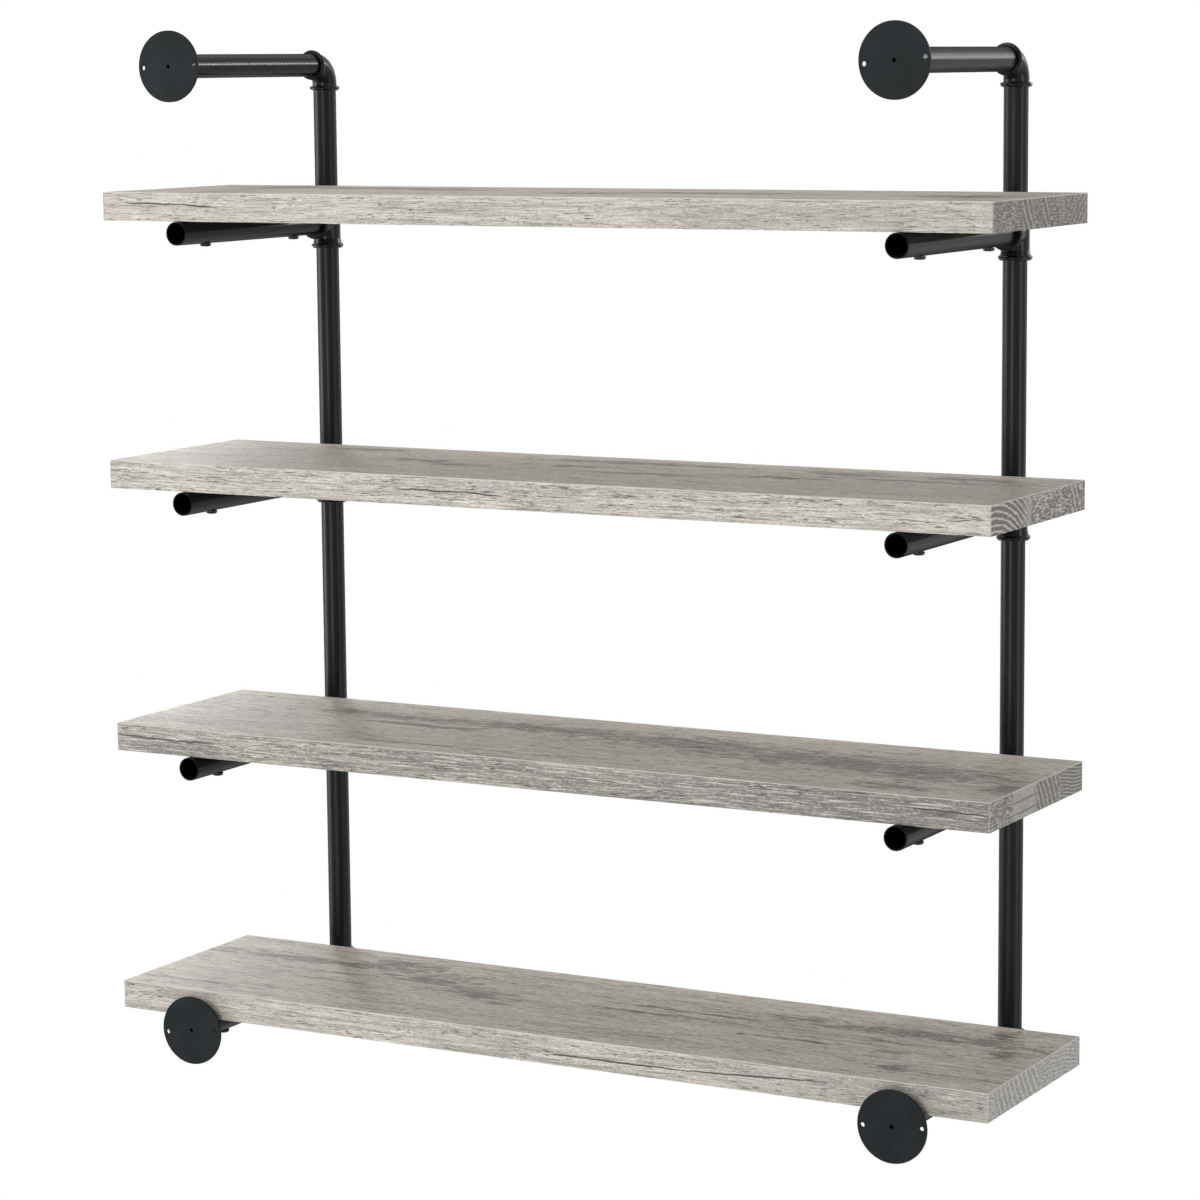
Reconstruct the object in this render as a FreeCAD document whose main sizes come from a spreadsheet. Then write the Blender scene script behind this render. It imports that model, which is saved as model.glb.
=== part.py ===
"""Wall bookshelf: four thick boards carried by two frames of black pipe and pipe fittings.

Millimetres. +Z is up and +X is to the right, seen from the room. The wall is the plane Y = 0
and the bookshelf lies on its -Y side. The origin is the point of the wall midway between the
four wall plates. Each frame is an upright that stands in front of the boards, with arms that
run back from it: the top and bottom arms end in plates on the wall, and the three between
them end open. Every board lies on its two arms and is held by screws from below.
"""
import FreeCAD, Part
import os
import Sketcher

Vector = FreeCAD.Vector

SIZES = {
    # Boards
    "shelf_length": 1016,
    "shelf_depth": 241,
    "shelf_thickness": 30,
    "shelf_pitch": 285,
    "wall_gap": 12,
    "face_sheet": 0.8,
    "edge_band": 1.0,
    "edge_rounding": 0.6,
    # Pipes
    "pipe_diameter": 25,
    "pipe_wall": 1.5,
    "frame_inset": 96,
    "top_arm_rise": 131,
    "open_end_gap": 7,
    "open_end_break": 0.3,
    # Fittings
    "board_to_fitting": 19,
    "fitting_reach": 28,
    "bead_radius": 2.4,
    "bead_lip": 0.4,
    "passage_diameter": 17,
    "elbow_bend": 21,
    "elbow_body_proud": 0.9,
    "elbow_lip_proud": 1.6,
    "elbow_bead_proud": 4.0,
    "elbow_flare_length": 2,
    "tee_run_proud": 2.3,
    "tee_branch_proud": 1.6,
    "tee_lip_proud": 3.7,
    "tee_bead_proud": 5.3,
    "tee_flare_length": 7.5,
    "tee_fillet": 2,
    # Threaded nipples, half in a pipe and half in a fitting
    "nipple_length": 24,
    "nipple_wall": 2.2,
    "nipple_end_room": 0.5,
    "nipple_clearance": 0.05,
    # Wall plates
    "plate_diameter": 74,
    "plate_thickness": 3,
    "plate_edge_break": 0.4,
    "vent_diameter": 4.2,
    "wall_screw_hole": 5,
    "wall_screw_margin": 3,
    "weld_leg": 2.5,
    "left_top_clock": 5.9,
    "right_top_clock": 2.7,
    "left_bottom_clock": 3.4,
    "right_bottom_clock": 8.9,
    # Shelf screws and the threaded inserts that take them
    "screw_diameter": 6,
    "screw_clearance": 0.3,
    "screw_head_diameter": 12,
    "screw_head_height": 3.2,
    "screw_recess_span": 6,
    "screw_recess_width": 1.5,
    "screw_recess_depth": 1.7,
    "screw_tip": 0.8,
    "screw_tip_room": 2,
    "screw_grip": 14,
    "screw_back_inset": 49,
    "screw_front_inset": 22,
    "insert_diameter": 9.5,
    "insert_length": 13,
    "insert_lead": 0.8,
    # How far a cut runs out of the solid that it opens
    "cut_overrun": 1,
}
ROUNDING_SHARE = 0.7
TOLERANCE = 1e-4

SHELVES = ("top", "upper", "lower", "bottom")
SIDES = {"left": -1, "right": 1}

# Degrees: a piece stands, or lies from the wall out to the room, and an elbow is turned over
STANDING = 0
LYING = 90
TURNED_OVER = 180

doc = FreeCAD.newDocument("wall_bookshelf")
sheet = doc.addObject("Spreadsheet::Sheet", "sizes")
for row, (alias, number) in enumerate(SIZES.items(), start=1):
    sheet.set(f"A{row}", alias)
    sheet.set(f"B{row}", str(number))
    sheet.setAlias(f"B{row}", alias)
doc.recompute()

# Radii, heights and places that follow from the sheet

PIPE_RADIUS = "(sizes.pipe_diameter / 2)"
BORE_RADIUS = f"({PIPE_RADIUS} - sizes.pipe_wall)"
SCREW_RADIUS = "(sizes.screw_diameter / 2)"
SCREW_HOLE_RADIUS = f"({SCREW_RADIUS} + sizes.screw_clearance)"
INSERT_RADIUS = "(sizes.insert_diameter / 2)"

# The frames keep their distance from the boards' ends, and the fittings from the boards' fronts
FRAME_X = "(sizes.shelf_length / 2 - sizes.frame_inset)"
ARM_REACH = "(sizes.wall_gap + sizes.shelf_depth + sizes.board_to_fitting)"
UPRIGHT_Y = f"(-({ARM_REACH} + sizes.fitting_reach))"

LAST_TIER = len(SHELVES) - 1
BELOW_TOP_BOARD = f"({LAST_TIER} * sizes.shelf_pitch + sizes.shelf_thickness + {PIPE_RADIUS})"
TOP_ARM_HEIGHT = f"((sizes.top_arm_rise + {BELOW_TOP_BOARD}) / 2)"

# A board's middle is measured from the wall, and its screw rows from its middle
BOARD_MIDDLE = "(sizes.wall_gap + sizes.shelf_depth / 2)"
SCREW_ROWS = (
    "(sizes.shelf_depth / 2 - sizes.screw_back_inset)",
    "(sizes.screw_front_inset - sizes.shelf_depth / 2)",
)


def board_base(tier):
    """Height of a board's underside, counted down from the top board."""
    drop = f"sizes.top_arm_rise + {tier} * sizes.shelf_pitch + sizes.shelf_thickness"
    return f"({TOP_ARM_HEIGHT} - ({drop}))"


def arm_height(tier):
    """Height of the axis of the arms on which a board lies."""
    return f"({board_base(tier)} - {PIPE_RADIUS})"


def fitting_heights():
    """Heights of a frame's fittings, from its top elbow down to its bottom one."""
    return [TOP_ARM_HEIGHT] + [arm_height(tier) for tier in range(len(SHELVES))]


def side_x(side):
    """The plane that holds a side's upright, arms and wall plates."""
    return f"({SIDES[side]} * {FRAME_X})"


def value(expression):
    return float(sheet.evalExpression(expression))


def near(a, b):
    return abs(a - b) < TOLERANCE


# Drawing, turning and placing

nodes = {}


def new_body(label, several_solids=False):
    body = doc.addObject("PartDesign::Body", label)
    body.Label = label
    body.AllowCompound = several_solids
    return body


def place(piece, x="0", y="0", z="0", axis=Vector(1, 0, 0), turn=STANDING):
    """Gives a piece a fixed turn and binds its place to expressions."""
    piece.Placement = FreeCAD.Placement(Vector(), FreeCAD.Rotation(axis, turn))
    piece.setExpression("Placement.Base.x", x)
    piece.setExpression("Placement.Base.y", y)
    piece.setExpression("Placement.Base.z", z)


def group(label, pieces):
    """Identical pieces that share a node, each of them its own solid."""
    compound = doc.addObject("Part::Compound", label)
    compound.Label = label
    compound.Links = pieces
    nodes[label] = compound


def sketch_on(body, name, role, y="0", z="0"):
    """A sketch on an origin plane of its body, shifted in the plane and along its normal."""
    sketch = body.newObject("Sketcher::SketchObject", name)
    plane = next(item for item in body.Origin.OriginFeatures if item.Role == role)
    sketch.AttachmentSupport = [(plane, "")]
    sketch.MapMode = "FlatFace"
    sketch.setExpression("AttachmentOffset.Base.y", y)
    sketch.setExpression("AttachmentOffset.Base.z", z)
    return sketch


def dimension(sketch, kind, elements, expression):
    constraint = Sketcher.Constraint(kind, *elements, value(expression))
    index = sketch.addConstraint(constraint)
    sketch.setExpression(f"Constraints[{index}]", expression)


def polygon(sketch, corners):
    """A closed outline through corners given as pairs of expressions."""
    first = sketch.GeometryCount
    count = len(corners)
    points = [Vector(value(x), value(y), 0) for x, y in corners]
    for i in range(count):
        sketch.addGeometry(Part.LineSegment(points[i], points[(i + 1) % count]))
    for i, (x, y) in enumerate(corners):
        following = first + (i + 1) % count
        sketch.addConstraint(Sketcher.Constraint("Coincident", first + i, 2, following, 1))
        dimension(sketch, "DistanceX", (-1, 1, first + i, 1), x)
        dimension(sketch, "DistanceY", (-1, 1, first + i, 1), y)


def rectangle(sketch, x_low, x_high, y_low, y_high):
    polygon(sketch, [(x_low, y_low), (x_high, y_low), (x_high, y_high), (x_low, y_high)])


def circle(sketch, x, y, radius):
    index = sketch.GeometryCount
    centre = Vector(value(x), value(y), 0)
    sketch.addGeometry(Part.Circle(centre, Vector(0, 0, 1), value(radius)))
    dimension(sketch, "Radius", (index,), radius)
    dimension(sketch, "DistanceX", (-1, 1, index, 3), x)
    dimension(sketch, "DistanceY", (-1, 1, index, 3), y)


def spin(body, name, sketch, axis="V_Axis", cut=False, angle=360, backwards=False):
    """Turns a sketch about one of its axes, and adds or cuts what it sweeps."""
    kind = "PartDesign::Groove" if cut else "PartDesign::Revolution"
    feature = body.newObject(kind, name)
    feature.Profile = sketch
    feature.ReferenceAxis = (sketch, [axis])
    feature.Angle = angle
    feature.Reversed = backwards
    return feature


def pad(body, name, sketch, length, both_ways=False):
    feature = body.newObject("PartDesign::Pad", name)
    feature.Profile = sketch
    feature.SideType = "Symmetric" if both_ways else "One side"
    feature.setExpression("Length", length)
    return feature


def pocket_up(body, name, sketch, depth):
    """A pocket that rises from its sketch."""
    feature = body.newObject("PartDesign::Pocket", name)
    feature.Profile = sketch
    feature.Reversed = True
    feature.setExpression("Length", depth)
    return feature


def pocket_through(body, name, sketch):
    feature = body.newObject("PartDesign::Pocket", name)
    feature.Profile = sketch
    feature.Type = "ThroughAll"
    feature.SideType = "Symmetric"
    return feature


def fillet(body, name, base, is_wanted, radius):
    """Rounds those edges of a feature that a test picks out."""
    doc.recompute()
    edges = enumerate(base.Shape.Edges, start=1)
    picked = [f"Edge{i}" for i, edge in edges if is_wanted(edge)]
    feature = body.newObject("PartDesign::Fillet", name)
    feature.Base = (base, picked)
    feature.setExpression("Radius", radius)
    return feature


# Boards: a core, a sheet on each face, and bands on the long edges and on the ends

CORE_X = "(sizes.shelf_length / 2 - sizes.edge_band)"
CORE_Y = "(sizes.shelf_depth / 2 - sizes.edge_band)"


def finish_board_piece(body, tier):
    """A board's own frame has its origin in the middle of the underside."""
    place(body, y=f"-{BOARD_MIDDLE}", z=board_base(tier))
    nodes[body.Label] = body


def circles_at_screws(sketch, radius):
    for side in SIDES:
        for row in SCREW_ROWS:
            circle(sketch, side_x(side), row, radius)


def make_core(shelf, tier):
    """Particle board with blind holes for the inserts and, above them, for the screw tips."""
    body = new_body(f"{shelf}_shelf_core")
    outline = sketch_on(body, "core_outline", "XY_Plane", z="sizes.face_sheet")
    rectangle(outline, f"-{CORE_X}", CORE_X, f"-{CORE_Y}", CORE_Y)
    pad(body, "core_block", outline, "sizes.shelf_thickness - 2 * sizes.face_sheet")
    insert_holes = sketch_on(body, "insert_holes", "XY_Plane")
    circles_at_screws(insert_holes, INSERT_RADIUS)
    pocket_up(body, "insert_pockets", insert_holes, "sizes.insert_length")
    tip_holes = sketch_on(body, "tip_holes", "XY_Plane")
    circles_at_screws(tip_holes, SCREW_HOLE_RADIUS)
    pocket_up(body, "tip_pockets", tip_holes, "sizes.screw_grip + sizes.screw_tip_room")
    finish_board_piece(body, tier)


def make_face_sheets(shelf, tier):
    """Decor sheets on the underside, where the inserts pass through, and on the top."""
    body = new_body(f"{shelf}_shelf_face_sheets", several_solids=True)
    under = sketch_on(body, "under_outline", "XY_Plane")
    rectangle(under, f"-{CORE_X}", CORE_X, f"-{CORE_Y}", CORE_Y)
    circles_at_screws(under, INSERT_RADIUS)
    pad(body, "under_sheet", under, "sizes.face_sheet")
    top_base = "sizes.shelf_thickness - sizes.face_sheet"
    top = sketch_on(body, "top_outline", "XY_Plane", z=top_base)
    rectangle(top, f"-{CORE_X}", CORE_X, f"-{CORE_Y}", CORE_Y)
    pad(body, "top_sheet", top, "sizes.face_sheet")
    finish_board_piece(body, tier)


def make_band_pair(label, plane, half_width, run, is_outer_edge):
    """Two equal bands on opposite edges of a board, with their outer edges rounded."""
    body = new_body(label, several_solids=True)
    inner = f"({half_width} - sizes.edge_band)"
    section = sketch_on(body, "band_sections", plane)
    rectangle(section, inner, half_width, "0", "sizes.shelf_thickness")
    rectangle(section, f"-{half_width}", f"-{inner}", "0", "sizes.shelf_thickness")
    strips = pad(body, "band_strips", section, run, both_ways=True)
    radius = f"min(sizes.edge_rounding; {ROUNDING_SHARE} * sizes.edge_band)"
    fillet(body, "band_rounding", strips, is_outer_edge, radius)
    return body


def make_bands(shelf, tier):
    """Long bands between end bands that close the whole depth of the board."""
    half_depth = "(sizes.shelf_depth / 2)"
    half_length = "(sizes.shelf_length / 2)"

    def is_long_outer(edge):
        middle = edge.CenterOfMass
        return near(abs(middle.y), value(half_depth)) and near(middle.x, 0)

    def is_end_outer(edge):
        return near(abs(edge.CenterOfMass.x), value(half_length))

    label = f"{shelf}_shelf_long_bands"
    long_bands = make_band_pair(label, "YZ_Plane", half_depth, f"2 * {CORE_X}", is_long_outer)
    finish_board_piece(long_bands, tier)
    label = f"{shelf}_shelf_end_bands"
    end_bands = make_band_pair(label, "XZ_Plane", half_length, "sizes.shelf_depth", is_end_outer)
    finish_board_piece(end_bands, tier)


# Pipes, and the nipples inside their joints

def tube(label, outer, inner, length):
    """A tube along its own +Z, from its origin."""
    body = new_body(label)
    section = sketch_on(body, "wall_section", "XZ_Plane")
    rectangle(section, inner, outer, "0", length)
    spin(body, "tube_wall", section)
    return body


def broken_tube(label, outer, inner, length):
    """The same tube with both rims of its first end broken."""
    body = new_body(label)
    edge = "sizes.open_end_break"
    section = sketch_on(body, "wall_section", "XZ_Plane")
    polygon(section, [
        (f"{inner} + {edge}", "0"),
        (f"{outer} - {edge}", "0"),
        (outer, edge),
        (outer, length),
        (inner, length),
        (inner, edge),
    ])
    spin(body, "tube_wall", section)
    return body


def make_uprights(side):
    heights = fitting_heights()
    for number, (above, below) in enumerate(zip(heights, heights[1:]), start=1):
        length = f"{above} - {below} - 2 * sizes.fitting_reach"
        body = tube(f"{side}_upright_{number}", PIPE_RADIUS, BORE_RADIUS, length)
        base = f"{below} + sizes.fitting_reach"
        place(body, x=side_x(side), y=UPRIGHT_Y, z=base)
        nodes[body.Label] = body


def finish_arm(body, side, height, start, carries_board):
    """Lays an arm back to front and drills it where the screws of a board pass."""
    if carries_board:
        holes = sketch_on(body, "screw_holes", "XZ_Plane")
        for row in SCREW_ROWS:
            circle(holes, "0", f"{BOARD_MIDDLE} - {row} - {start}", SCREW_HOLE_RADIUS)
        pocket_through(body, "screw_hole_pair", holes)
    place(body, x=side_x(side), y=f"-{start}", z=height, turn=LYING)
    nodes[body.Label] = body


def make_arms(side):
    start = "sizes.plate_thickness"
    for end, height in (("top", TOP_ARM_HEIGHT), ("bottom", arm_height(LAST_TIER))):
        label = f"{side}_{end}_wall_arm"
        body = tube(label, PIPE_RADIUS, BORE_RADIUS, f"{ARM_REACH} - {start}")
        finish_arm(body, side, height, start, carries_board=end == "bottom")
    start = "sizes.open_end_gap"
    for tier in range(LAST_TIER):
        label = f"{side}_{SHELVES[tier]}_shelf_arm"
        body = broken_tube(label, PIPE_RADIUS, BORE_RADIUS, f"{ARM_REACH} - {start}")
        finish_arm(body, side, arm_height(tier), start, carries_board=True)


def make_nipples(side):
    """Threaded nipples, half in the bore of a pipe and half in the socket of a fitting."""
    half = "sizes.nipple_length / 2"
    outer = f"({BORE_RADIUS} - sizes.nipple_clearance)"
    inner = f"({outer} - sizes.nipple_wall)"
    heights = fitting_heights()
    places = [(f"{half} - {ARM_REACH}", height, LYING) for height in heights]
    for below in heights[1:]:
        places.append((UPRIGHT_Y, f"{below} + sizes.fitting_reach - {half}", STANDING))
    for above in heights[:-1]:
        places.append((UPRIGHT_Y, f"{above} - sizes.fitting_reach - {half}", STANDING))
    pieces = []
    for number, (y, z, turn) in enumerate(places, start=1):
        body = tube(f"{side}_nipple_{number}", outer, inner, "sizes.nipple_length")
        place(body, x=side_x(side), y=y, z=z, turn=turn)
        pieces.append(body)
    group(f"{side}_nipples", pieces)


# Fittings: each leg widens towards a rolled bead, and its bore takes a nipple

BEAD_PLANE = "(sizes.fitting_reach - sizes.bead_lip - sizes.bead_radius)"
SOCKET_SEAT = "(sizes.fitting_reach - sizes.nipple_length / 2 - sizes.nipple_end_room)"
SOCKET_MOUTH = "(sizes.fitting_reach + sizes.cut_overrun)"


def spin_along(body, name, direction, profile, cut=False):
    """Spins (radius, distance) corners about the leg that points down, up or to the wall."""
    section = sketch_on(body, f"{name}_section", "YZ_Plane")
    if direction == "wall":
        polygon(section, [(distance, radius) for radius, distance in profile])
        spin(body, name, section, "H_Axis", cut)
    else:
        sign = "-" if direction == "down" else ""
        polygon(section, [(radius, f"{sign}{distance}") for radius, distance in profile])
        spin(body, name, section, "V_Axis", cut)


def add_bead(body, name, direction, radius_at):
    section = sketch_on(body, f"{name}_section", "YZ_Plane")
    if direction == "wall":
        circle(section, BEAD_PLANE, radius_at, "sizes.bead_radius")
        spin(body, name, section, "H_Axis")
    else:
        sign = "-" if direction == "down" else ""
        circle(section, radius_at, f"{sign}{BEAD_PLANE}", "sizes.bead_radius")
        spin(body, name, section, "V_Axis")


def add_leg(body, direction, start, body_radius, kind):
    """A leg of an elbow or tee from a distance out to its face, with its flare and bead."""
    lip_radius = f"({PIPE_RADIUS} + sizes.{kind}_lip_proud)"
    bead_at = f"({PIPE_RADIUS} + sizes.{kind}_bead_proud - sizes.bead_radius)"
    flare_start = f"({BEAD_PLANE} - sizes.{kind}_flare_length)"
    spin_along(body, f"{direction}_leg", direction, [
        ("0", start),
        (body_radius, start),
        (body_radius, flare_start),
        (lip_radius, BEAD_PLANE),
        (lip_radius, "sizes.fitting_reach"),
        ("0", "sizes.fitting_reach"),
    ])
    add_bead(body, f"{direction}_bead", direction, bead_at)


def make_elbow(label, side, height, turn):
    """A quarter bend with one socket for the upright and one for the arm."""
    body = new_body(label)
    bend = "sizes.elbow_bend"
    body_radius = f"({PIPE_RADIUS} + sizes.elbow_body_proud)"
    passage_radius = "sizes.passage_diameter / 2"

    def bend_section(name, radius):
        section = sketch_on(body, name, "XY_Plane", y=bend, z=f"-{bend}")
        circle(section, "0", f"-{bend}", radius)
        return section

    outside = bend_section("bend_section", body_radius)
    spin(body, "bend", outside, "H_Axis", angle=90, backwards=True)
    for direction in ("down", "wall"):
        add_leg(body, direction, bend, body_radius, "elbow")
    inside = bend_section("passage_section", passage_radius)
    spin(body, "bend_passage", inside, "H_Axis", cut=True, angle=90, backwards=True)
    for direction in ("down", "wall"):
        spin_along(body, f"{direction}_bore", direction, [
            ("0", SOCKET_MOUTH),
            (BORE_RADIUS, SOCKET_MOUTH),
            (BORE_RADIUS, SOCKET_SEAT),
            ("0", SOCKET_SEAT),
        ], cut=True)
    place(body, x=side_x(side), y=UPRIGHT_Y, z=height, axis=Vector(0, 1, 0), turn=turn)
    nodes[label] = body


def make_tee(label, side, height):
    """A tee whose run joins two uprights and whose branch takes an arm."""
    body = new_body(label)
    run_radius = f"({PIPE_RADIUS} + sizes.tee_run_proud)"
    branch_radius = f"({PIPE_RADIUS} + sizes.tee_branch_proud)"
    add_leg(body, "down", "0", run_radius, "tee")
    add_leg(body, "up", "0", run_radius, "tee")
    add_leg(body, "wall", "0", branch_radius, "tee")

    def is_saddle(edge):
        round_or_straight = edge.Curve.TypeId in ("Part::GeomLine", "Part::GeomCircle")
        return not round_or_straight and not edge.isClosed()

    flare_start = f"{BEAD_PLANE} - sizes.tee_flare_length"
    radius = f"min(sizes.tee_fillet; {ROUNDING_SHARE} * ({flare_start} - {run_radius}))"
    fillet(body, "saddle_fillet", body.Tip, is_saddle, radius)
    for direction in ("down", "up", "wall"):
        spin_along(body, f"{direction}_bore", direction, [
            ("0", SOCKET_MOUTH),
            (BORE_RADIUS, SOCKET_MOUTH),
            (BORE_RADIUS, SOCKET_SEAT),
            ("sizes.passage_diameter / 2", SOCKET_SEAT),
            ("sizes.passage_diameter / 2", "0"),
            ("0", "0"),
        ], cut=True)
    place(body, x=side_x(side), y=UPRIGHT_Y, z=height)
    nodes[label] = body


# Wall plates: a disc with a vent, two screw holes and the weld bead round the arm

def make_plate(side, end, height):
    label = f"{side}_{end}_wall_plate"
    body = new_body(label)
    rim = "sizes.plate_diameter / 2"
    edge = "sizes.plate_edge_break"
    vent = "sizes.vent_diameter / 2"
    section = sketch_on(body, "disc_section", "XZ_Plane")
    polygon(section, [
        (vent, "0"),
        (f"{rim} - {edge}", "0"),
        (rim, edge),
        (rim, f"sizes.plate_thickness - {edge}"),
        (f"{rim} - {edge}", "sizes.plate_thickness"),
        (f"{PIPE_RADIUS} + sizes.weld_leg", "sizes.plate_thickness"),
        (PIPE_RADIUS, "sizes.plate_thickness + sizes.weld_leg"),
        (PIPE_RADIUS, "sizes.plate_thickness"),
        (vent, "sizes.plate_thickness"),
    ])
    spin(body, "disc", section)
    clock = f"(sizes.{side}_{end}_clock * 1 deg)"
    out = f"({rim} - sizes.wall_screw_margin - sizes.wall_screw_hole / 2)"
    across = f"({out} * cos{clock})"
    up = f"({out} * sin{clock})"
    holes = sketch_on(body, "wall_screw_holes", "XY_Plane")
    circle(holes, f"-{across}", up, "sizes.wall_screw_hole / 2")
    circle(holes, across, f"-{up}", "sizes.wall_screw_hole / 2")
    pocket_through(body, "wall_screw_pair", holes)
    place(body, x=side_x(side), z=height, turn=LYING)
    nodes[label] = body


# Shelf screws and inserts, four of each to a board

def screw(label):
    """Pan head screw whose head bears at its origin and whose shank points up."""
    body = new_body(label)
    head_radius = "sizes.screw_head_diameter / 2"
    length = "(sizes.pipe_diameter + sizes.screw_grip)"
    section = sketch_on(body, "screw_section", "XZ_Plane")
    polygon(section, [
        ("0", "-sizes.screw_head_height"),
        (head_radius, "-sizes.screw_head_height"),
        (head_radius, "0"),
        (SCREW_RADIUS, "0"),
        (SCREW_RADIUS, f"{length} - sizes.screw_tip"),
        (f"{SCREW_RADIUS} - sizes.screw_tip", length),
        ("0", length),
    ])
    blank = spin(body, "screw_blank", section)

    def is_head_rim(edge):
        low = near(edge.BoundBox.ZMax, value("-sizes.screw_head_height"))
        return low and near(edge.BoundBox.XMax, value(head_radius))

    radius = f"{ROUNDING_SHARE} * min(sizes.screw_head_height; {head_radius})"
    fillet(body, "head_rounding", blank, is_head_rim, radius)
    tip = "sizes.screw_recess_span / 2"
    arm = "sizes.screw_recess_width / 2"
    recess = sketch_on(body, "recess_outline", "XY_Plane", z="-sizes.screw_head_height")
    polygon(recess, [
        (f"-{tip}", f"-{arm}"), (f"-{arm}", f"-{arm}"), (f"-{arm}", f"-{tip}"),
        (arm, f"-{tip}"), (arm, f"-{arm}"), (tip, f"-{arm}"),
        (tip, arm), (arm, arm), (arm, tip),
        (f"-{arm}", tip), (f"-{arm}", arm), (f"-{tip}", arm),
    ])
    pocket_up(body, "cross_recess", recess, "sizes.screw_recess_depth")
    return body


def insert(label):
    """Threaded insert with a lead at the end that goes in first."""
    body = new_body(label)
    section = sketch_on(body, "insert_section", "XZ_Plane")
    polygon(section, [
        (SCREW_RADIUS, "0"),
        (INSERT_RADIUS, "0"),
        (INSERT_RADIUS, "sizes.insert_length - sizes.insert_lead"),
        (f"{INSERT_RADIUS} - sizes.insert_lead", "sizes.insert_length"),
        (SCREW_RADIUS, "sizes.insert_length"),
    ])
    spin(body, "insert_wall", section)
    return body


def make_four(shelf, kind, make_piece, height):
    places = [(side_x(side), f"{row} - {BOARD_MIDDLE}") for side in SIDES for row in SCREW_ROWS]
    pieces = []
    for number, (x, y) in enumerate(places, start=1):
        piece = make_piece(f"{shelf}_shelf_{kind}_{number}")
        place(piece, x=x, y=y, z=height)
        pieces.append(piece)
    group(f"{shelf}_shelf_{kind}s", pieces)


# The whole bookshelf

for tier, shelf in enumerate(SHELVES):
    make_core(shelf, tier)
    make_face_sheets(shelf, tier)
    make_bands(shelf, tier)
    make_four(shelf, "screw", screw, f"{arm_height(tier)} - {PIPE_RADIUS}")
    make_four(shelf, "insert", insert, board_base(tier))

for side in SIDES:
    make_plate(side, "top", TOP_ARM_HEIGHT)
    make_plate(side, "bottom", arm_height(LAST_TIER))
    make_elbow(f"{side}_top_elbow", side, TOP_ARM_HEIGHT, STANDING)
    make_elbow(f"{side}_bottom_elbow", side, arm_height(LAST_TIER), TURNED_OVER)
    for tier in range(LAST_TIER):
        make_tee(f"{side}_{SHELVES[tier]}_tee", side, arm_height(tier))
    make_uprights(side)
    make_arms(side)
    make_nipples(side)

doc.recompute()

for item in doc.Objects:
    if "Invalid" in item.State or "Error" in item.State:
        raise RuntimeError(f"{item.Label} is in state {item.State}")
    if item.TypeId in ("PartDesign::Pocket", "PartDesign::Groove"):
        if item.Shape.Volume >= item.BaseFeature.Shape.Volume:
            raise RuntimeError(f"{item.Label} removes nothing")
for label, item in nodes.items():
    if item.Shape.isNull() or not item.Shape.isValid():
        raise RuntimeError(f"{label} has no valid shape")

os.makedirs("parts", exist_ok=True)
for label, item in nodes.items():
    item.Shape.exportStep(f"parts/{label}.step")
print(len(nodes), "nodes written")
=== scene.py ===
"""Looks of the wall bookshelf: four wood-decor boards on two frames of black pipe.

Metres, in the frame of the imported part: +Z up, the wall at Y = 0, the room on its -Y side.
The photograph is taken from the wall side, with the left frame nearer to the camera.
"""

import math

import bpy
from mathutils import Euler, Matrix, Vector


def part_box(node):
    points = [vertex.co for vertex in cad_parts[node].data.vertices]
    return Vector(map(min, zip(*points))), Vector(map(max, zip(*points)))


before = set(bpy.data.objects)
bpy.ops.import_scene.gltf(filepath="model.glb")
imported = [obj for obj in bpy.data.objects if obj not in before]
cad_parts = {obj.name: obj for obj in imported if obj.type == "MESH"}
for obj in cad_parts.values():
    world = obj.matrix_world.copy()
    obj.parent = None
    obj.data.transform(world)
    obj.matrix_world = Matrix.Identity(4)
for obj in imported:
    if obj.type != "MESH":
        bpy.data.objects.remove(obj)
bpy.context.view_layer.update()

MM = 0.001
SHELVES = ("top", "upper", "lower", "bottom")
SIDES = ("left", "right")
MOUNTS = ("top", "bottom")
UPRIGHT_PIPES = 4

# A wave texture turns through this many radians in one unit of its place
WAVE_RADIANS = 20


def paint(hex_value):
    """Linear colour of an sRGB hex value."""
    channels = [int(hex_value[i:i + 2], 16) / 255 for i in (1, 3, 5)]
    linear = [c / 12.92 if c <= 0.04045 else ((c + 0.055) / 1.055) ** 2.4 for c in channels]
    return (*linear, 1.0)


def add(tree, kind, sources, output=0, **settings):
    """Adds a node with its settings, fed by values, hex colours or outputs. Gives one output."""
    node = tree.nodes.new(kind)
    for name, setting in settings.items():
        setattr(node, name, setting)
    for socket, source in sources.items():
        if isinstance(source, bpy.types.NodeSocket):
            tree.links.new(source, node.inputs[socket])
        else:
            node.inputs[socket].default_value = paint(source) if isinstance(source, str) else source
    return node.outputs[output]


def start_finish(name):
    """A new material with its node tree, its shader and the place on the part in metres."""
    material = bpy.data.materials.new(name)
    material.use_nodes = True
    tree = material.node_tree
    place = add(tree, "ShaderNodeTexCoord", {}, "Object")
    return material, tree, tree.nodes["Principled BSDF"], place


def fibres(tree, place, size_mm, detail, seed=0.0):
    """Uneven threads or clouds of a real size along X, Y and Z, with values around one half.

    Detail is how many finer layers they have, and the seed shifts them.
    """
    drawn = {"Vector": place, "Location": (seed, seed, seed)}
    drawn["Scale"] = [1 / (size * MM) for size in size_mm]
    drawn = add(tree, "ShaderNodeMapping", drawn)
    uneven = {"Vector": drawn, "Scale": 1.0, "Detail": detail, "Roughness": 0.6}
    return add(tree, "ShaderNodeTexNoise", uneven)


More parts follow.
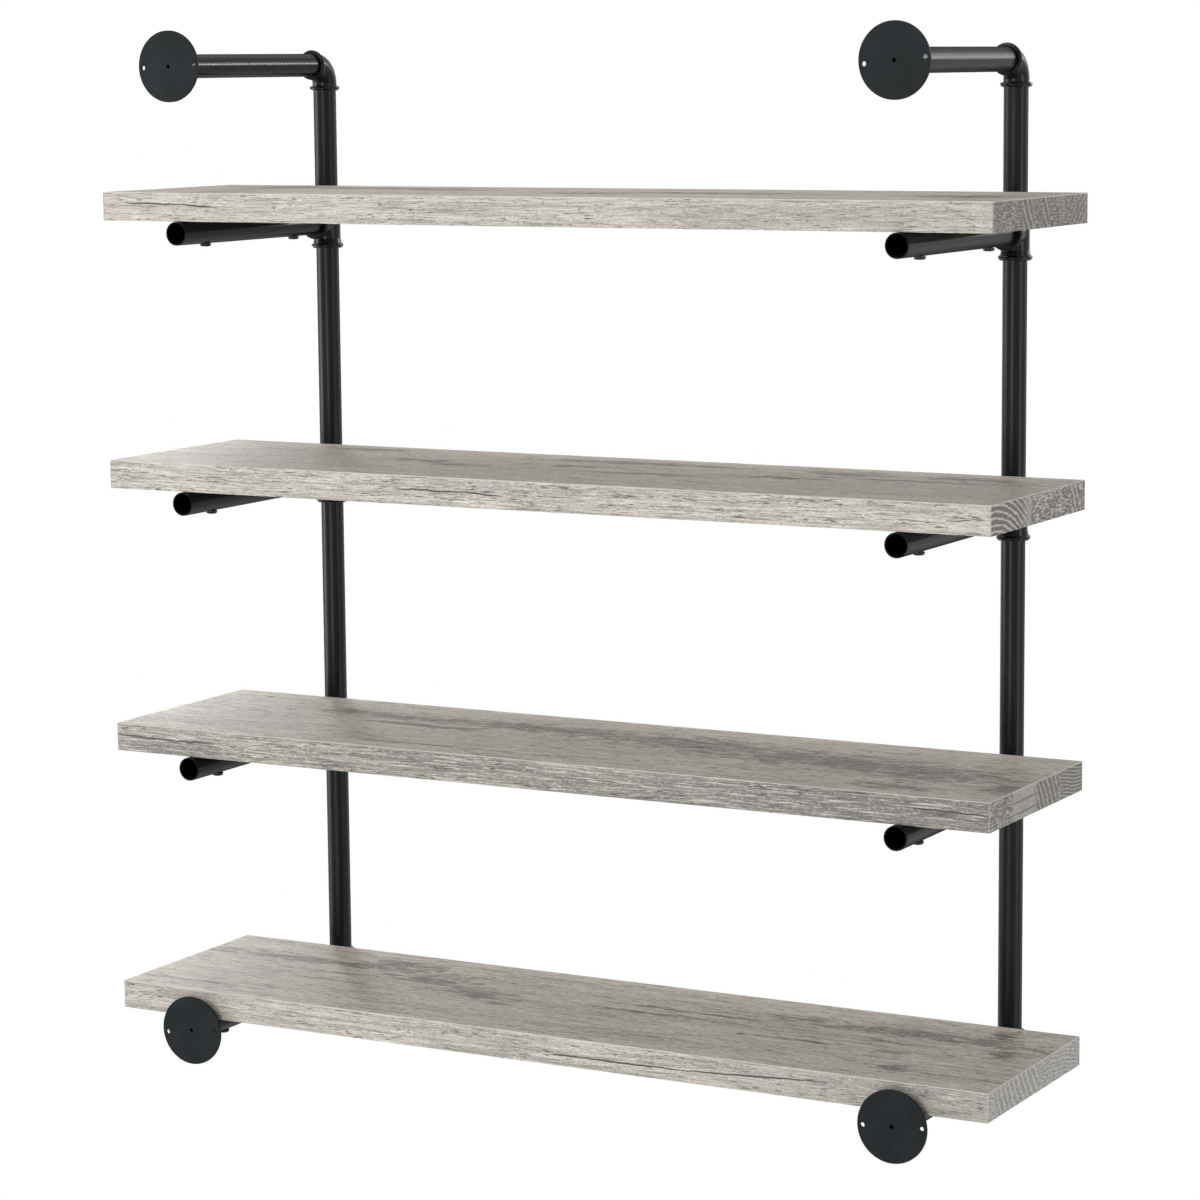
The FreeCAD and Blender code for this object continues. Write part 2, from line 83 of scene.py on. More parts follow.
def let_wander(tree, place, size_mm, reach_mm):
    """The place pushed about slowly, so that what is drawn on it isn't straight."""
    stretch = [1 / (size * MM) for size in size_mm]
    drawn = add(tree, "ShaderNodeMapping", {"Vector": place, "Scale": stretch})
    push = add(tree, "ShaderNodeTexNoise", {"Vector": drawn, "Scale": 1.0, "Detail": 2.0}, "Color")
    # From nought to one becomes the reach on either side
    reach = [2 * r * MM for r in reach_mm]
    moved = {0: push, 1: reach, 2: [r / -2 for r in reach]}
    push = add(tree, "ShaderNodeVectorMath", moved, operation="MULTIPLY_ADD")
    return add(tree, "ShaderNodeVectorMath", {0: place, 1: push}, operation="ADD")


def oval(tree, place, middle_mm, half_mm, turn=(0, 0, 0)):
    """How far out of an oval's middle a place is, with one on the oval's rim."""
    drawn = {"Vector": place, "Location": [m * MM for m in middle_mm], "Rotation": turn}
    drawn["Scale"] = [h * MM for h in half_mm]
    within = add(tree, "ShaderNodeMapping", drawn, vector_type="TEXTURE")
    return add(tree, "ShaderNodeVectorMath", {0: within}, "Value", operation="LENGTH")


def print_inks(tree, paper, inks):
    """Prints one ink after another on the paper.

    An ink is its pattern, the pattern's value where it is bare and the one where it is full,
    how much it covers there, and its colour.
    """
    for pattern, bare, full, cover, ink in inks:
        amount = {"Value": pattern, "From Min": bare, "From Max": full, "To Max": cover}
        share = add(tree, "ShaderNodeMapRange", amount, interpolation_type="SMOOTHSTEP")
        paper = add(tree, "ShaderNodeMix", {0: share, 6: paper, 7: ink}, 2, data_type="RGBA")
    return paper


def growth_rings(tree, place, centre_mm, step_mm):
    """Rings of a real step around a line along X, from nought to one, a little uneven."""
    turns = 2 * math.pi / WAVE_RADIANS / (step_mm * MM)
    drawn = {"Vector": place, "Location": (0, *(-c * MM * turns for c in centre_mm))}
    drawn["Scale"] = (turns, turns, turns)
    drawn = add(tree, "ShaderNodeMapping", drawn)
    uneven = {"Vector": drawn, "Scale": 1.0, "Distortion": 1.6, "Detail": 3.0, "Detail Scale": 2.0}
    return add(tree, "ShaderNodeTexWave", uneven, "Fac", wave_type="RINGS", rings_direction="X")


def dulled(tree, roughness, facing_from, facing_to, more):
    """Roughness that rises where a surface is seen at a low angle.

    The fine relief of a matt skin hides its own mirror there.
    """
    low = add(tree, "ShaderNodeLayerWeight", {"Blend": 0.5}, "Facing")
    rise = {"Value": low, "From Min": facing_from, "From Max": facing_to, "To Max": more}
    rise = add(tree, "ShaderNodeMapRange", rise)
    return add(tree, "ShaderNodeMath", {0: roughness, 1: rise}, operation="ADD")


def emboss(tree, shader, print_or_height, depth_mm):
    """Presses the surface in where the print is dark, by a real depth."""
    pressed = {"Height": print_or_height, "Distance": depth_mm * MM, "Strength": 1.0}
    tree.links.new(add(tree, "ShaderNodeBump", pressed), shader.inputs["Normal"])


# Boards. A place on a board is its X, its distance from the wall-side edge, and its depth
# below the top

BOARD_LOW, BOARD_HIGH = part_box("top_shelf_end_bands")
WALL_EDGE = BOARD_HIGH.y
BOARD_DEPTH = (BOARD_HIGH.y - BOARD_LOW.y) / MM
BOARD_HALF = BOARD_HIGH.x / MM

# Half size, in mm, of an oval along a direction in which it has no rim
FLAT = 1e6
# A place this many times as far out as an oval's rim gets none of its print
FAR_OUT = 9.0

# Steps of the seeds from board to board, so that no two boards have the same print
FACE_SEED = 3.1
EDGE_SEED = 5.7
END_SEED = 2.3

# Brown-grey stains of each top: (x, distance from the wall-side edge, half length, half width), mm
STAINS = {
    "top": [
        (300, 175, 150, 15), (180, 150, 60, 12), (-20, 100, 50, 16), (-150, 130, 110, 18),
        (-430, 110, 50, 30),
    ],
    "upper": [
        (303, 209, 40, 12), (193, 133, 36, 11), (143, 113, 34, 12), (18, 146, 46, 9),
        (-72, 109, 80, 7), (-32, 196, 110, 12), (-217, 136, 56, 10), (-342, 159, 105, 6),
        (-272, 193, 40, 16), (-402, 196, 44, 14),
    ],
    "lower": [
        (308, 171, 46, 16), (243, 163, 70, 14), (78, 166, 190, 20), (-112, 156, 110, 34),
        (-252, 131, 130, 36), (-392, 116, 90, 36), (-392, 36, 34, 16), (-492, 66, 24, 24),
        (193, 129, 66, 9), (128, 33, 110, 3),
    ],
    "bottom": [
        (358, 173, 170, 12), (268, 191, 50, 18), (208, 151, 46, 18), (138, 119, 50, 16),
        (93, 93, 16, 6), (-92, 129, 80, 4), (-132, 151, 90, 3), (-352, 173, 160, 15),
        (-467, 136, 18, 20), (-442, 196, 14, 30), (-387, 43, 20, 12), (-452, 40, 60, 2.5),
        (418, 33, 60, 3), (308, 101, 50, 3), (-250, 96, 34, 4), (-361, 98, 22, 5),
        (-340, 132, 26, 5),
    ],
}
# Knots of each top: (x, distance from the wall-side edge), mm, and the halves of one
KNOTS = {
    "top": [(180, 60), (-250, 150)],
    "upper": [(-32, 51), (331, 197), (-405, 173)],
    "lower": [(-127, 144), (-388, 57), (450, 213)],
    "bottom": [(-194, 95), (-279, 96)],
}
KNOT_HALVES = (7, 4, FLAT)

# Open cracks of each wall-side edge: (x of one end, depth there, x of the other end, depth
# there), mm, and half the height of one
CRACKS = {
    "top": [(478, 10.9, 408, 12.2), (412, 12.0, 368, 14.9)],
    "upper": [(150, 14.5, 68, 14.4), (76, 14.2, 26, 16.4)],
    "lower": [
        (512, 12.7, 434, 14.0), (440, 14.2, 386, 13.4), (-366, 1.4, -380, 2.4),
        (-422, 11.8, -512, 13.3),
    ],
    "bottom": [(-26, 18.2, -58, 18.9), (-50, 18.6, -176, 17.8), (-166, 18.2, -342, 9.6)],
}
CRACK_HALF_HEIGHT = 0.8

# Long edges: paper, grey streaks, the value around which the streaks show, and a long grey
# stain: (x, depth, half length, half width), mm
EDGE_PAPERS = {
    "top": ("#c5bfb5", "#a39e96", 0.52, (-330, 15, 200, 12)),
    "upper": ("#c3bdb3", "#a19c95", 0.54, (40, 10, 150, 10)),
    "lower": ("#a29d95", "#6b6763", 0.47, (-400, 15, 400, 34)),
    "bottom": ("#c3bdb3", "#97938d", 0.50, (-420, 15, 160, 26)),
}
STREAK_FADE = (-0.1, 0.12)

# Ends: paper, pale lines and dark lines. The paper is darker partly from the end-grain print and
# partly as painted shade on the ends
END_PAPERS_WITH_SHADE = {
    "top": ("#6c6760", "#b2ada5", "#36332f"),
    "upper": ("#807b74", "#cfc9c1", "#47433e"),
    "lower": ("#817d77", "#b2afa8", "#4e4a43"),
    "bottom": ("#a8a59f", "#cbc9c2", "#777470"),
}
# Rings and slanting bands of each end: (centre, step, middle of the oval where they show, its
# halves, how much they cover), each place as (distance from the wall-side edge, depth), mm
END_RINGS = {
    "top": [
        ((422, -199), 9.5, (85, 15), (13, 40), 0.6),
        ((469, -199), 9.5, (131, 15), (9, 40), 0.6),
        ((330, 140), 7.5, (218, 15), (30, 30), 0.3),
    ],
    "upper": [
        ((6, 122), 6.2, (24, 15), (64, 60), 0.75),
        ((550, -199), 9.0, (214, 15), (14, 40), 0.5),
    ],
    "lower": [
        ((248, -224), 3.6, (220, 15), (36, 40), 0.8),
        ((486, -191), 9.0, (146, 15), (32, 40), 0.6),
    ],
    "bottom": [
        ((413, -199), 9.5, (75, 15), (60, 40), 0.45),
        ((150, 300), 4.2, (200, 15), (44, 40), 0.35),
    ],
}
# Fields of paler paper on the ends, and dark lines: (distance from the wall-side edge, depth,
# halves), mm
END_FIELDS = {
    "top": [], "upper": [(90, 15, 10, 30)], "lower": [(88, 15, 32, 40)], "bottom": [],
}
END_LINES = {
    "top": [], "upper": [], "lower": [(88, 12, 36, 0.9), (86, 23, 34, 0.9)], "bottom": [],
}

# Painted highlight along the bands' corners, a pale line where the rounded arris would catch the
# light:
# half the line's width in mm, how it fades out of its oval, its colour, and how much it covers
# along the top and at upright corners
HIGHLIGHT_HALF = 1.0
HIGHLIGHT_FADE = (1.3, 0.5)
HIGHLIGHT_INK = "#d3cec5"
HIGHLIGHT_TOP = 0.7
HIGHLIGHT_UPRIGHT = 0.3


def place_on_board(tree, place, shelf):
    """The place on the part, measured from the wall-side edge and the top of one board."""
    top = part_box(f"{shelf}_shelf_end_bands")[1].z
    turned = {0: place, 1: (1, -1, -1), 2: (0, WALL_EDGE, top)}
    return add(tree, "ShaderNodeVectorMath", turned, operation="MULTIPLY_ADD")


def stained(tree, place, ovals_mm):
    """How far out of the nearest of several ovals on a top a place is, with one on a rim."""
    nearest = FAR_OUT
    for x, y, half_length, half_width in ovals_mm:
        out = oval(tree, place, (x, y, 0), (half_length, half_width, FLAT))
        nearest = add(tree, "ShaderNodeMath", {0: nearest, 1: out}, operation="MINIMUM")
    return nearest


def shred(tree, out, shreds, reach):
    """Makes a stain's rim ragged: shreds push it in and out."""
    return add(tree, "ShaderNodeMath", {0: shreds, 1: reach, 2: out}, operation="MULTIPLY_ADD")


def driftwood_face(shelf, seed):
    """Melamine-faced particle board: paper printed as grey driftwood, pressed with a fine grain.

    To the eye: warm light grey with ragged brown-grey stains along the board, fine fibres,
    faint saw marks across it, a few knots, and a dull sheen that mirrors the pipes softly at
    a low angle. The fibres are drawn about twice as coarse as real ones, or they wouldn't show.
    """
    material, tree, shader, place = start_finish(f"melamine_driftwood_{shelf}_face")
    board = place_on_board(tree, place, shelf)
    bent = let_wander(tree, board, (240, 80, 80), (0, 8, 0))
    # Each pattern: its size along the board, across it and down, mm, its finer layers, its seed
    cloud = fibres(tree, bent, (210, 40, 60), 3, seed + 11)
    warm = fibres(tree, bent, (120, 60, 60), 2, seed + 5)
    shreds = fibres(tree, bent, (24, 8, 20), 4, seed + 6)
    lines = fibres(tree, bent, (110, 4, 20), 2, seed + 7)
    fibre = fibres(tree, bent, (34, 2.4, 20), 4, seed)
    grit = fibres(tree, board, (5, 3.5, 9), 3, seed + 1)

    dash = fibres(tree, bent, (15, 2, 9), 2, seed + 2)
    dashed_zone = fibres(tree, bent, (80, 16, 30), 2, seed + 8)
    dashed = {"Value": dashed_zone, "From Min": 0.42, "From Max": 0.56, "To Max": 0.85}
    dash_cover = add(tree, "ShaderNodeMapRange", dashed)

    saw_mark = fibres(tree, board, (2.6, 34, 20), 2, seed + 3)
    sawn_zone = fibres(tree, board, (60, 40, 30), 1, seed + 4)
    sawn = {"Value": sawn_zone, "From Min": 0.5, "From Max": 0.62, "To Max": 0.45}
    saw_cover = add(tree, "ShaderNodeMapRange", sawn)

    stain = shred(tree, stained(tree, bent, STAINS[shelf]), shreds, reach=4.6)
    stain = shred(tree, stain, lines, reach=1.8)
    inks = [
        (warm, 0.4, 0.65, 0.6, "#b9b0a6"),
        (cloud, 0.5, 0.72, 0.45, "#98928a"),
        (stain, 4.5, 4.0, 0.85, "#756e67"),
        (stain, 4.0, 3.4, 0.8, "#57514b"),
        (lines, 0.54, 0.66, 0.5, "#7f7971"),
        (lines, 0.45, 0.34, 0.45, "#d3ccc1"),
        (fibre, 0.52, 0.66, 0.65, "#7d7871"),
        (fibre, 0.46, 0.32, 0.55, "#d6cfc4"),
        (grit, 0.5, 0.66, 0.5, "#858079"),
        (grit, 0.46, 0.33, 0.45, "#d2ccc1"),
        (saw_mark, 0.56, 0.66, saw_cover, "#cbc5ba"),
        (dash, 0.56, 0.66, dash_cover, "#57534f"),
    ]
    for x, y in KNOTS[shelf]:
        knot = shred(tree, oval(tree, bent, (x, y, 0), KNOT_HALVES), shreds, reach=1.8)
        inks.append((knot, 2.1, 1.3, 0.85, "#4f4a45"))
    printed = print_inks(tree, "#c3bcb1", inks)
    tree.links.new(printed, shader.inputs["Base Color"])

    sheen = add(tree, "ShaderNodeMapRange", {"Value": fibre, "To Min": 0.42, "To Max": 0.6})
    sheen = dulled(tree, sheen, facing_from=0.9, facing_to=0.97, more=0.35)
    tree.links.new(sheen, shader.inputs["Roughness"])
    shader.inputs["Specular IOR Level"].default_value = 0.12
    emboss(tree, shader, printed, depth_mm=0.12)
    return material


def painted_corner_highlights(tree, board, upright_corners, half_mm):
    """Inks for a band's painted corner highlights: a paler line along the top, and faint upright
    ones.
    """
    corners = [((0, 0, 0), (FLAT, FLAT, HIGHLIGHT_HALF), HIGHLIGHT_TOP)]
    corners += [(corner, half_mm, HIGHLIGHT_UPRIGHT) for corner in upright_corners]
    return [
        (oval(tree, board, middle, half), *HIGHLIGHT_FADE, cover, HIGHLIGHT_INK)
        for middle, half, cover in corners
    ]


def driftwood_edge(shelf, seed):
    """ABS edge band printed as weathered wood, with pressed pores.

    To the eye: paler than the faces, crossed by fine dark and cream fibres and short dark
    dashes, with one or two long open cracks in blue-grey that run along the board. The pores
    are drawn about three times as coarse as real ones, or they wouldn't show.
    """
    paper, streak, streaked_at, (x, depth, half_length, half_width) = EDGE_PAPERS[shelf]
    material, tree, shader, place = start_finish(f"abs_band_driftwood_{shelf}_long_edge")
    board = place_on_board(tree, place, shelf)
    bent = let_wander(tree, board, (110, 60, 40), (0, 0, 2.4))
    jagged = let_wander(tree, board, (13, 60, 60), (0, 0, 1.5))
    # Each pattern: its size along the board, across it and down, mm, its finer layers, its seed
    streaks = fibres(tree, bent, (130, 60, 6), 4, seed + 4)
    fibre = fibres(tree, bent, (55, 30, 1.2), 3, seed)
    pale = fibres(tree, bent, (34, 30, 1.2), 3, seed + 2)
    grit = fibres(tree, board, (3.5, 20, 1.1), 2, seed + 3)

    dash = fibres(tree, bent, (12, 20, 1.0), 2, seed + 9)
    dashed_zone = fibres(tree, bent, (50, 60, 6), 2, seed + 1)
    dashed = {"Value": dashed_zone, "From Min": 0.4, "From Max": 0.58, "To Max": 0.95}
    dash_cover = add(tree, "ShaderNodeMapRange", dashed)

    stain = oval(tree, bent, (x, 0, depth), (half_length, FLAT, half_width))
    stain = shred(tree, stain, streaks, reach=1.6)
    streak_bare, streak_full = (streaked_at + fade for fade in STREAK_FADE)
    inks = [
        (streaks, streak_bare, streak_full, 0.9, streak),
        (stain, 2.0, 1.1, 0.75, streak),
        (fibre, 0.5, 0.62, 0.8, "#827d76"),
        (pale, 0.48, 0.36, 0.55, "#e2dcd2"),
        (grit, 0.53, 0.66, 0.5, "#7e7973"),
        (grit, 0.47, 0.34, 0.35, "#dfd9ce"),
        (dash, 0.54, 0.63, dash_cover, "#4e4b48"),
    ]
    for x_a, depth_a, x_b, depth_b in CRACKS[shelf]:
        middle = ((x_a + x_b) / 2, 0, (depth_a + depth_b) / 2)
        halves = (abs(x_a - x_b) / 2, FLAT, CRACK_HALF_HEIGHT)
        slope = math.atan2(depth_a - depth_b, x_a - x_b)
        crack = oval(tree, jagged, middle, halves, (0, -slope, 0))
        inks.append((crack, 1.25, 0.9, 0.95, "#33353a"))
    # The band's corners get a painted highlight, paler than the print
    upright_corners = [(BOARD_HALF, 0, 0), (-BOARD_HALF, 0, 0)]
    inks += painted_corner_highlights(tree, board, upright_corners, (HIGHLIGHT_HALF, FLAT, FLAT))
    printed = print_inks(tree, paper, inks)
    tree.links.new(printed, shader.inputs["Base Color"])
    shader.inputs["Roughness"].default_value = 0.5
    emboss(tree, shader, printed, depth_mm=0.15)
    return material


def driftwood_end(shelf, seed):
    """ABS edge band printed as sawn end grain.

    To the eye: darker brown-grey, partly from the print and partly as painted shade on the end,
    with pale growth rings in arcs and slanting bands, and between them short wavy dashes and fine
    upright saw marks. The saw marks are drawn about twice as far apart as real ones, and the rings
    as the photograph shows them.
    """
    # The end paper is darker partly from the print and partly as painted shade on the end
    paper, line, dark = END_PAPERS_WITH_SHADE[shelf]
    material, tree, shader, place = start_finish(f"abs_band_driftwood_{shelf}_end")
    board = place_on_board(tree, place, shelf)
    bent = let_wander(tree, board, (60, 24, 14), (0, 2.4, 1.4))
    # Each pattern: its size along the board, across it and down, mm, its finer layers, its seed
    wavy = fibres(tree, bent, (30, 7.5, 1.6), 2, seed)
    patch = fibres(tree, bent, (60, 24, 20), 2, seed + 3)

    saw_mark = fibres(tree, board, (30, 1.6, 14), 1, seed + 2)
    sawn_zone = fibres(tree, bent, (60, 22, 60), 1, seed + 5)
    sawn = {"Value": sawn_zone, "From Min": 0.44, "From Max": 0.58, "To Max": 0.7}
    saw_cover = add(tree, "ShaderNodeMapRange", sawn)

    inks = [
        (patch, 0.45, 0.62, 0.2, line),
        (saw_mark, 0.5, 0.62, saw_cover, dark),
        (wavy, 0.5, 0.6, 0.85, dark),
        (wavy, 0.46, 0.37, 0.8, line),
    ]
    for y, depth, half_y, half_depth in END_FIELDS[shelf]:
        field = oval(tree, bent, (0, y, depth), (FLAT, half_y, half_depth))
        inks.append((field, 1.1, 0.8, 0.7, "#a5a29b"))
    for centre, step, (zone_y, zone_depth), (half_y, half_depth), full in END_RINGS[shelf]:
        zone = oval(tree, bent, (0, zone_y, zone_depth), (FLAT, half_y, half_depth))
        ringed = {"Value": zone, "From Min": 1.2, "From Max": 0.7, "To Max": full}
        ring_cover = add(tree, "ShaderNodeMapRange", ringed)
        rings = growth_rings(tree, bent, centre, step)
        inks += [
            (zone, 1.1, 0.8, full / 2, paper),
            (rings, 0.7, 0.3, ring_cover, dark),
            (rings, 0.82, 0.96, ring_cover, line),
        ]
    for y, depth, half_y, half_depth in END_LINES[shelf]:
        dark_line = oval(tree, bent, (0, y, depth), (FLAT, half_y, half_depth))
        inks.append((dark_line, 1.3, 0.8, 0.85, "#5a5651"))
    # The end's corners get a painted highlight, paler than the print
    upright_corners = [(0, 0, 0), (0, BOARD_DEPTH, 0)]
    inks += painted_corner_highlights(tree, board, upright_corners, (FLAT, HIGHLIGHT_HALF, FLAT))
    printed = print_inks(tree, paper, inks)
    tree.links.new(printed, shader.inputs["Base Color"])
    shader.inputs["Roughness"].default_value = 0.55
    emboss(tree, shader, printed, depth_mm=0.1)
    return material


def particle_board():
    """Pressed wood chips and glue, sawn and drilled.

    To the eye: a tan mosaic of chips. It is under the decor, and shows only in a section.
    """
    material, tree, shader, place = start_finish("particle_board_sawn")
    chip_mm = (7, 2.4, 2.4)
    drawn = {"Vector": place, "Scale": [1 / (size * MM) for size in chip_mm]}
    drawn = add(tree, "ShaderNodeMapping", drawn)
    tones = add(tree, "ShaderNodeTexVoronoi", {"Vector": drawn, "Scale": 1.0}, "Color")
    printed = print_inks(tree, "#c2a27a", [(tones, 0.2, 0.8, 1.0, "#9c7a52")])
    tree.links.new(printed, shader.inputs["Base Color"])
    shader.inputs["Roughness"].default_value = 0.85
    emboss(tree, shader, printed, depth_mm=0.4)
    return material


# Black coats are uneven in clouds of this size, in mm, and in roughness by this much
CLOUD_MM = (40, 40, 40)
CLOUD_SEED = 4.0
CLOUD_ROUGHNESS = 0.05


def powder_coat(name, black, cloud, gloss, rough, peel_mm, peel_depth_mm, low_angle=0.0):
    """Black polyester powder, sprayed and baked on steel.

    To the eye: near black, with long soft highlights that the fine orange peel of the
    baked coat breaks up a little. The matting agent in the skin mirrors far less than clear
    resin does, so the specular level is low. The peel is drawn twice as coarse as real peel.
    Low angle is how much duller the skin is where it is looked along.
    """
    material, tree, shader, place = start_finish(name)
    peel = fibres(tree, place, (peel_mm, peel_mm, peel_mm), 2)
    uneven = fibres(tree, place, CLOUD_MM, 2, CLOUD_SEED)
    coat = print_inks(tree, black, [(uneven, 0.35, 0.65, 1.0, cloud)])
    tree.links.new(coat, shader.inputs["Base Color"])
    satin = {"Value": uneven, "To Min": rough - CLOUD_ROUGHNESS, "To Max": rough + CLOUD_ROUGHNESS}
    satin = add(tree, "ShaderNodeMapRange", satin)
    if low_angle:
        satin = dulled(tree, satin, facing_from=0.6, facing_to=0.95, more=low_angle)
    tree.links.new(satin, shader.inputs["Roughness"])
    shader.inputs["Specular IOR Level"].default_value = gloss
    emboss(tree, shader, peel, peel_depth_mm)
    return material


def zinc_plated_steel():
    """Turned steel, zinc plated and passivated: the inserts and the threaded nipples.

    To the eye: pale grey metal with fine turning marks, drawn about four times as far apart
    as real ones, or they wouldn't show.
    """
    material, tree, shader, place = start_finish("zinc_plated_steel_turned")
    marks = fibres(tree, place, (30, 30, 0.6), 2)
    plated = print_inks(tree, "#c9cbcc", [(marks, 0.4, 0.6, 1.0, "#aeb1b4")])
    tree.links.new(plated, shader.inputs["Base Color"])
    shader.inputs["Metallic"].default_value = 1.0
    shader.inputs["Roughness"].default_value = 0.35
    emboss(tree, shader, marks, depth_mm=0.02)
    return material


def dress(node, material):
    """Gives one piece of the part its finish."""
    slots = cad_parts[node].data.materials
    slots.clear()
    slots.append(material)


core = particle_board()
zinc = zinc_plated_steel()
pipe_coat = powder_coat(
    "powder_coat_satin_black_pipe", "#080b0f", "#0c1014",
    gloss=0.18, rough=0.33, peel_mm=1.8, peel_depth_mm=0.001, low_angle=0.5,
)
# An arm is looked at along its length, so its skin is dulled more there than an upright's
arm_coat = powder_coat(
    "powder_coat_satin_black_arm", "#080b0f", "#0c1014",
    gloss=0.1, rough=0.2, peel_mm=1.8, peel_depth_mm=0.001, low_angle=0.66,
)
# The fittings are castings, which gives their coat a deeper and coarser peel
fitting_coat = powder_coat(
    "powder_coat_satin_black_fitting", "#080b0e", "#0d1115",
    gloss=0.18, rough=0.24, peel_mm=2.6, peel_depth_mm=0.012,
)
plate_coat = powder_coat(
    "powder_coat_matt_black_plate", "#161a1c", "#1b2022",
    gloss=0.12, rough=0.5, peel_mm=1.4, peel_depth_mm=0.01,
)
# The screws are zinc plated and passivated black: the same steps give a thinner, glossier skin
screw_coat = powder_coat(
    "black_zinc_screw", "#0d0e0f", "#131415",
    gloss=0.3, rough=0.3, peel_mm=1.0, peel_depth_mm=0.004,
)

for number, shelf in enumerate(SHELVES):
    dress(f"{shelf}_shelf_core", core)
    dress(f"{shelf}_shelf_face_sheets", driftwood_face(shelf, FACE_SEED * number))
    dress(f"{shelf}_shelf_long_bands", driftwood_edge(shelf, EDGE_SEED * number))
    dress(f"{shelf}_shelf_end_bands", driftwood_end(shelf, END_SEED * number))
    dress(f"{shelf}_shelf_screws", screw_coat)
    dress(f"{shelf}_shelf_inserts", zinc)
for side in SIDES:
    for mount in MOUNTS:
        dress(f"{side}_{mount}_wall_plate", plate_coat)
        dress(f"{side}_{mount}_elbow", fitting_coat)
        dress(f"{side}_{mount}_wall_arm", arm_coat)
    for shelf in SHELVES[:-1]:
        dress(f"{side}_{shelf}_tee", fitting_coat)
        dress(f"{side}_{shelf}_shelf_arm", arm_coat)
    for number in range(1, UPRIGHT_PIPES + 1):
        dress(f"{side}_upright_{number}", pipe_coat)
    dress(f"{side}_nipples", zinc)


# Floor, world and lamps

WHITE = "#ffffff"
FLOOR_Z = -1.35
FLOOR_HALF = 20.0
# Where it is seen, the floor is this much glow near the bookshelf, and lit paper that keeps
# the shadow. Between these distances it becomes all glow, as the world behind it is
FLOOR_GLOW = 0.85
FLOOR_EDGE = (1.2, 2.3)
# How bright the world is as light
AMBIENT = 0.25

# Place in metres, width and height in metres, and watts. Left and right are the photograph's
LAMPS = {
    "key_softbox": ((0.8, 3.3, 2.0), 1.4, 1.4, 53),
    "key_strip": ((-0.4, 3.8, -0.2), 0.8, 1.9, 40),
    "left_softbox": ((3.6, 1.2, 0.1), 1.5, 2.4, 75),
    "right_strip": ((-3.8, 0.1, 0.0), 0.6, 2.4, 31),
    "room_softbox": ((-1.6, -3.5, 1.3), 0.9, 1.4, 12),
    "room_strip": ((2.7, -3.2, -0.1), 0.3, 1.9, 24),
    "far_softbox": ((-6.1, -9.9, 2.5), 0.85, 0.85, 130),
    "overhead_softbox": ((0.9, -0.5, 3.3), 1.6, 1.6, 42),
}


def seen_directly(tree):
    """One for rays straight from the camera, or by way of gloss or glass."""
    seen = add(tree, "ShaderNodeLightPath", {}, "Is Camera Ray")
    for ray in ("Is Glossy Ray", "Is Transmission Ray"):
        also = add(tree, "ShaderNodeLightPath", {}, ray)
        seen = add(tree, "ShaderNodeMath", {0: seen, 1: also}, operation="MAXIMUM")
    return seen


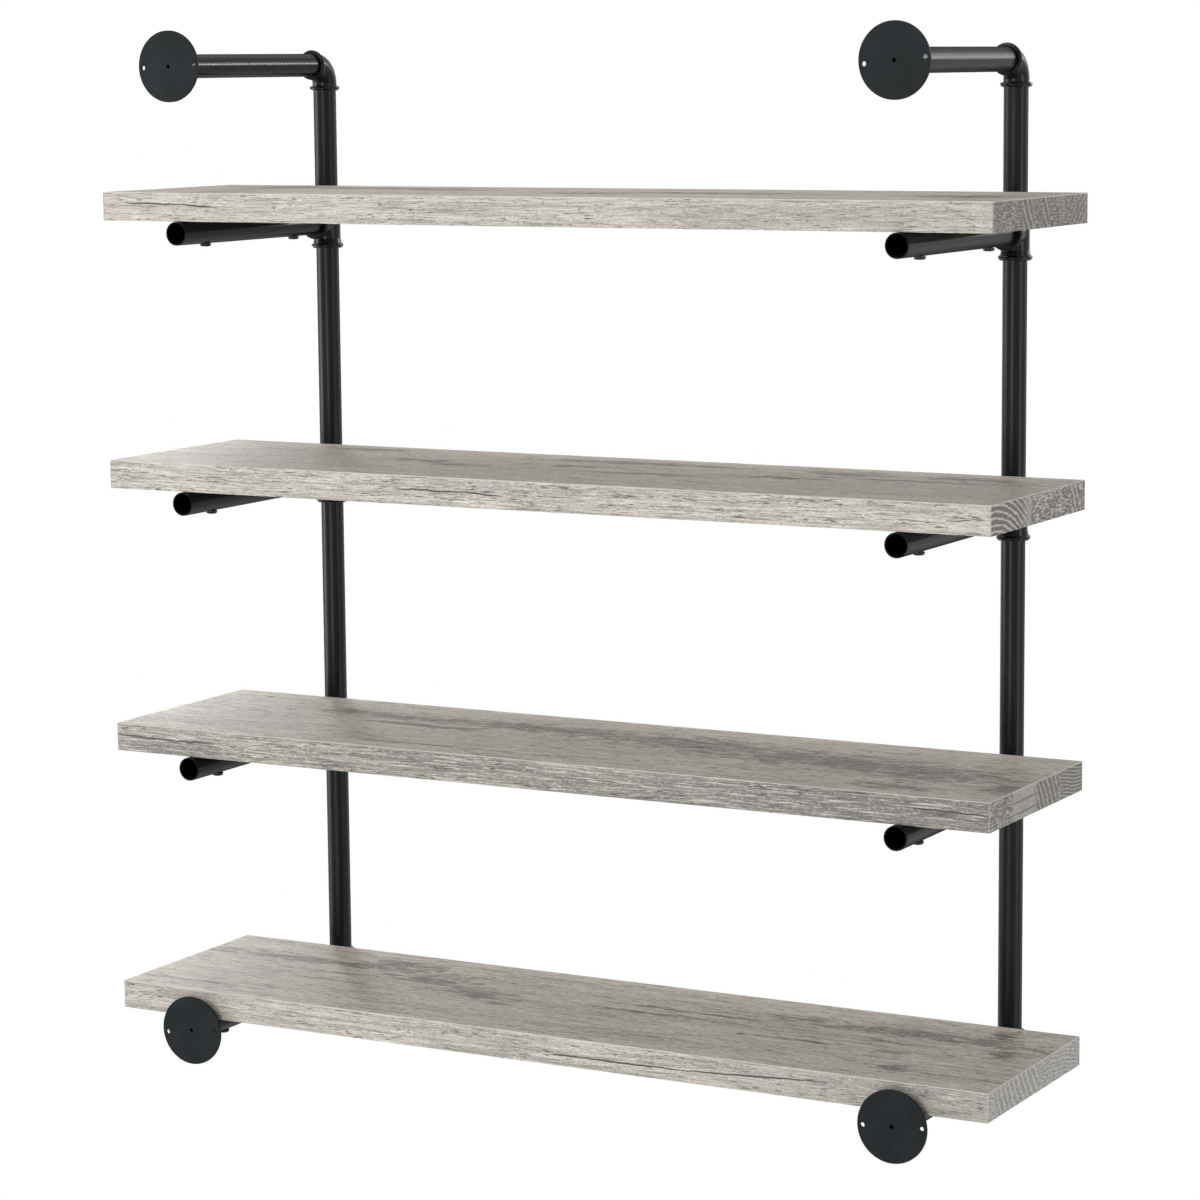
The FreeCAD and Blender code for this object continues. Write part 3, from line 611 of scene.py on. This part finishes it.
def lay_floor():
    """A pale seamless studio floor, well under the bookshelf, that keeps the shadow.

    It is clear from below.
    """
    signs = ((-1, -1), (1, -1), (1, 1), (-1, 1))
    corners = [(x * FLOOR_HALF, y * FLOOR_HALF, FLOOR_Z) for x, y in signs]
    mesh = bpy.data.meshes.new("studio_floor")
    mesh.from_pydata(corners, [], [(0, 1, 2, 3)])
    floor = bpy.data.objects.new("studio_floor", mesh)
    bpy.context.scene.collection.objects.link(floor)

    material, tree, paper, place = start_finish("studio_paper_white")
    paper.inputs["Base Color"].default_value = paint("#f4f4f4")
    paper.inputs["Roughness"].default_value = 0.9
    glow = add(tree, "ShaderNodeEmission", {"Color": WHITE, "Strength": 1.0})
    away = add(tree, "ShaderNodeVectorMath", {0: place, 1: (0, 0, -FLOOR_Z)}, operation="ADD")
    away = add(tree, "ShaderNodeVectorMath", {0: away}, "Value", operation="LENGTH")
    near, far = FLOOR_EDGE
    glowing = {
        "Value": away, "From Min": near, "From Max": far, "To Min": FLOOR_GLOW, "To Max": 1.0,
    }
    glowing = add(tree, "ShaderNodeMapRange", glowing, interpolation_type="SMOOTHSTEP")
    share = add(tree, "ShaderNodeMath", {0: seen_directly(tree), 1: glowing}, operation="MULTIPLY")
    mixed = add(tree, "ShaderNodeMixShader", {0: share, 1: paper.outputs[0], 2: glow})
    under = add(tree, "ShaderNodeNewGeometry", {}, "Backfacing")
    clear = add(tree, "ShaderNodeBsdfTransparent", {})
    mixed = add(tree, "ShaderNodeMixShader", {0: under, 1: mixed, 2: clear})
    tree.links.new(mixed, tree.nodes["Material Output"].inputs["Surface"])
    mesh.materials.append(material)


def hang_world():
    """White where it is seen, and an even pale grey as light."""
    world = bpy.data.worlds.new("studio_world")
    bpy.context.scene.world = world
    world.use_nodes = True
    tree = world.node_tree
    light = add(tree, "ShaderNodeBackground", {"Color": WHITE, "Strength": AMBIENT})
    white = add(tree, "ShaderNodeBackground", {"Color": WHITE, "Strength": 1.0})
    mixed = add(tree, "ShaderNodeMixShader", {0: seen_directly(tree), 1: light, 2: white})
    tree.links.new(mixed, tree.nodes["World Output"].inputs["Surface"])


def hang_softbox(name, place, width, height, watts):
    """A flat soft lamp that faces the middle of the bookshelf."""
    lamp = bpy.data.lights.new(name, "AREA")
    lamp.shape = "RECTANGLE"
    lamp.size = width
    lamp.size_y = height
    lamp.energy = watts
    softbox = bpy.data.objects.new(name, lamp)
    softbox.location = place
    softbox.rotation_euler = (-Vector(place)).to_track_quat("-Z", "Y").to_euler()
    bpy.context.scene.collection.objects.link(softbox)


lay_floor()
hang_world()
for name, (place, width, height, watts) in LAMPS.items():
    hang_softbox(name, place, width, height, watts)


# Camera at the photograph's viewing angle, from the wall side: metres, degrees, and mm

CAMERA_PLACE = (-1.8694, 3.2584, 0.5139)
CAMERA_HEADING = 28.588
CAMERA_PITCH = -8.113
CAMERA_ROLL = -0.501
CAMERA_LENS = 113.0
SENSOR = 36.0

camera = bpy.data.cameras.new("photo_camera")
camera.lens = CAMERA_LENS
camera.sensor_width = SENSOR
photo_camera = bpy.data.objects.new("photo_camera", camera)
level = Euler((math.radians(90 + CAMERA_PITCH), 0, math.radians(180 + CAMERA_HEADING))).to_matrix()
roll = Matrix.Rotation(math.radians(CAMERA_ROLL), 3, "Z")
photo_camera.rotation_euler = (level @ roll).to_euler()
photo_camera.location = CAMERA_PLACE
bpy.context.scene.collection.objects.link(photo_camera)
bpy.context.scene.camera = photo_camera
bpy.context.scene.view_settings.view_transform = "Standard"
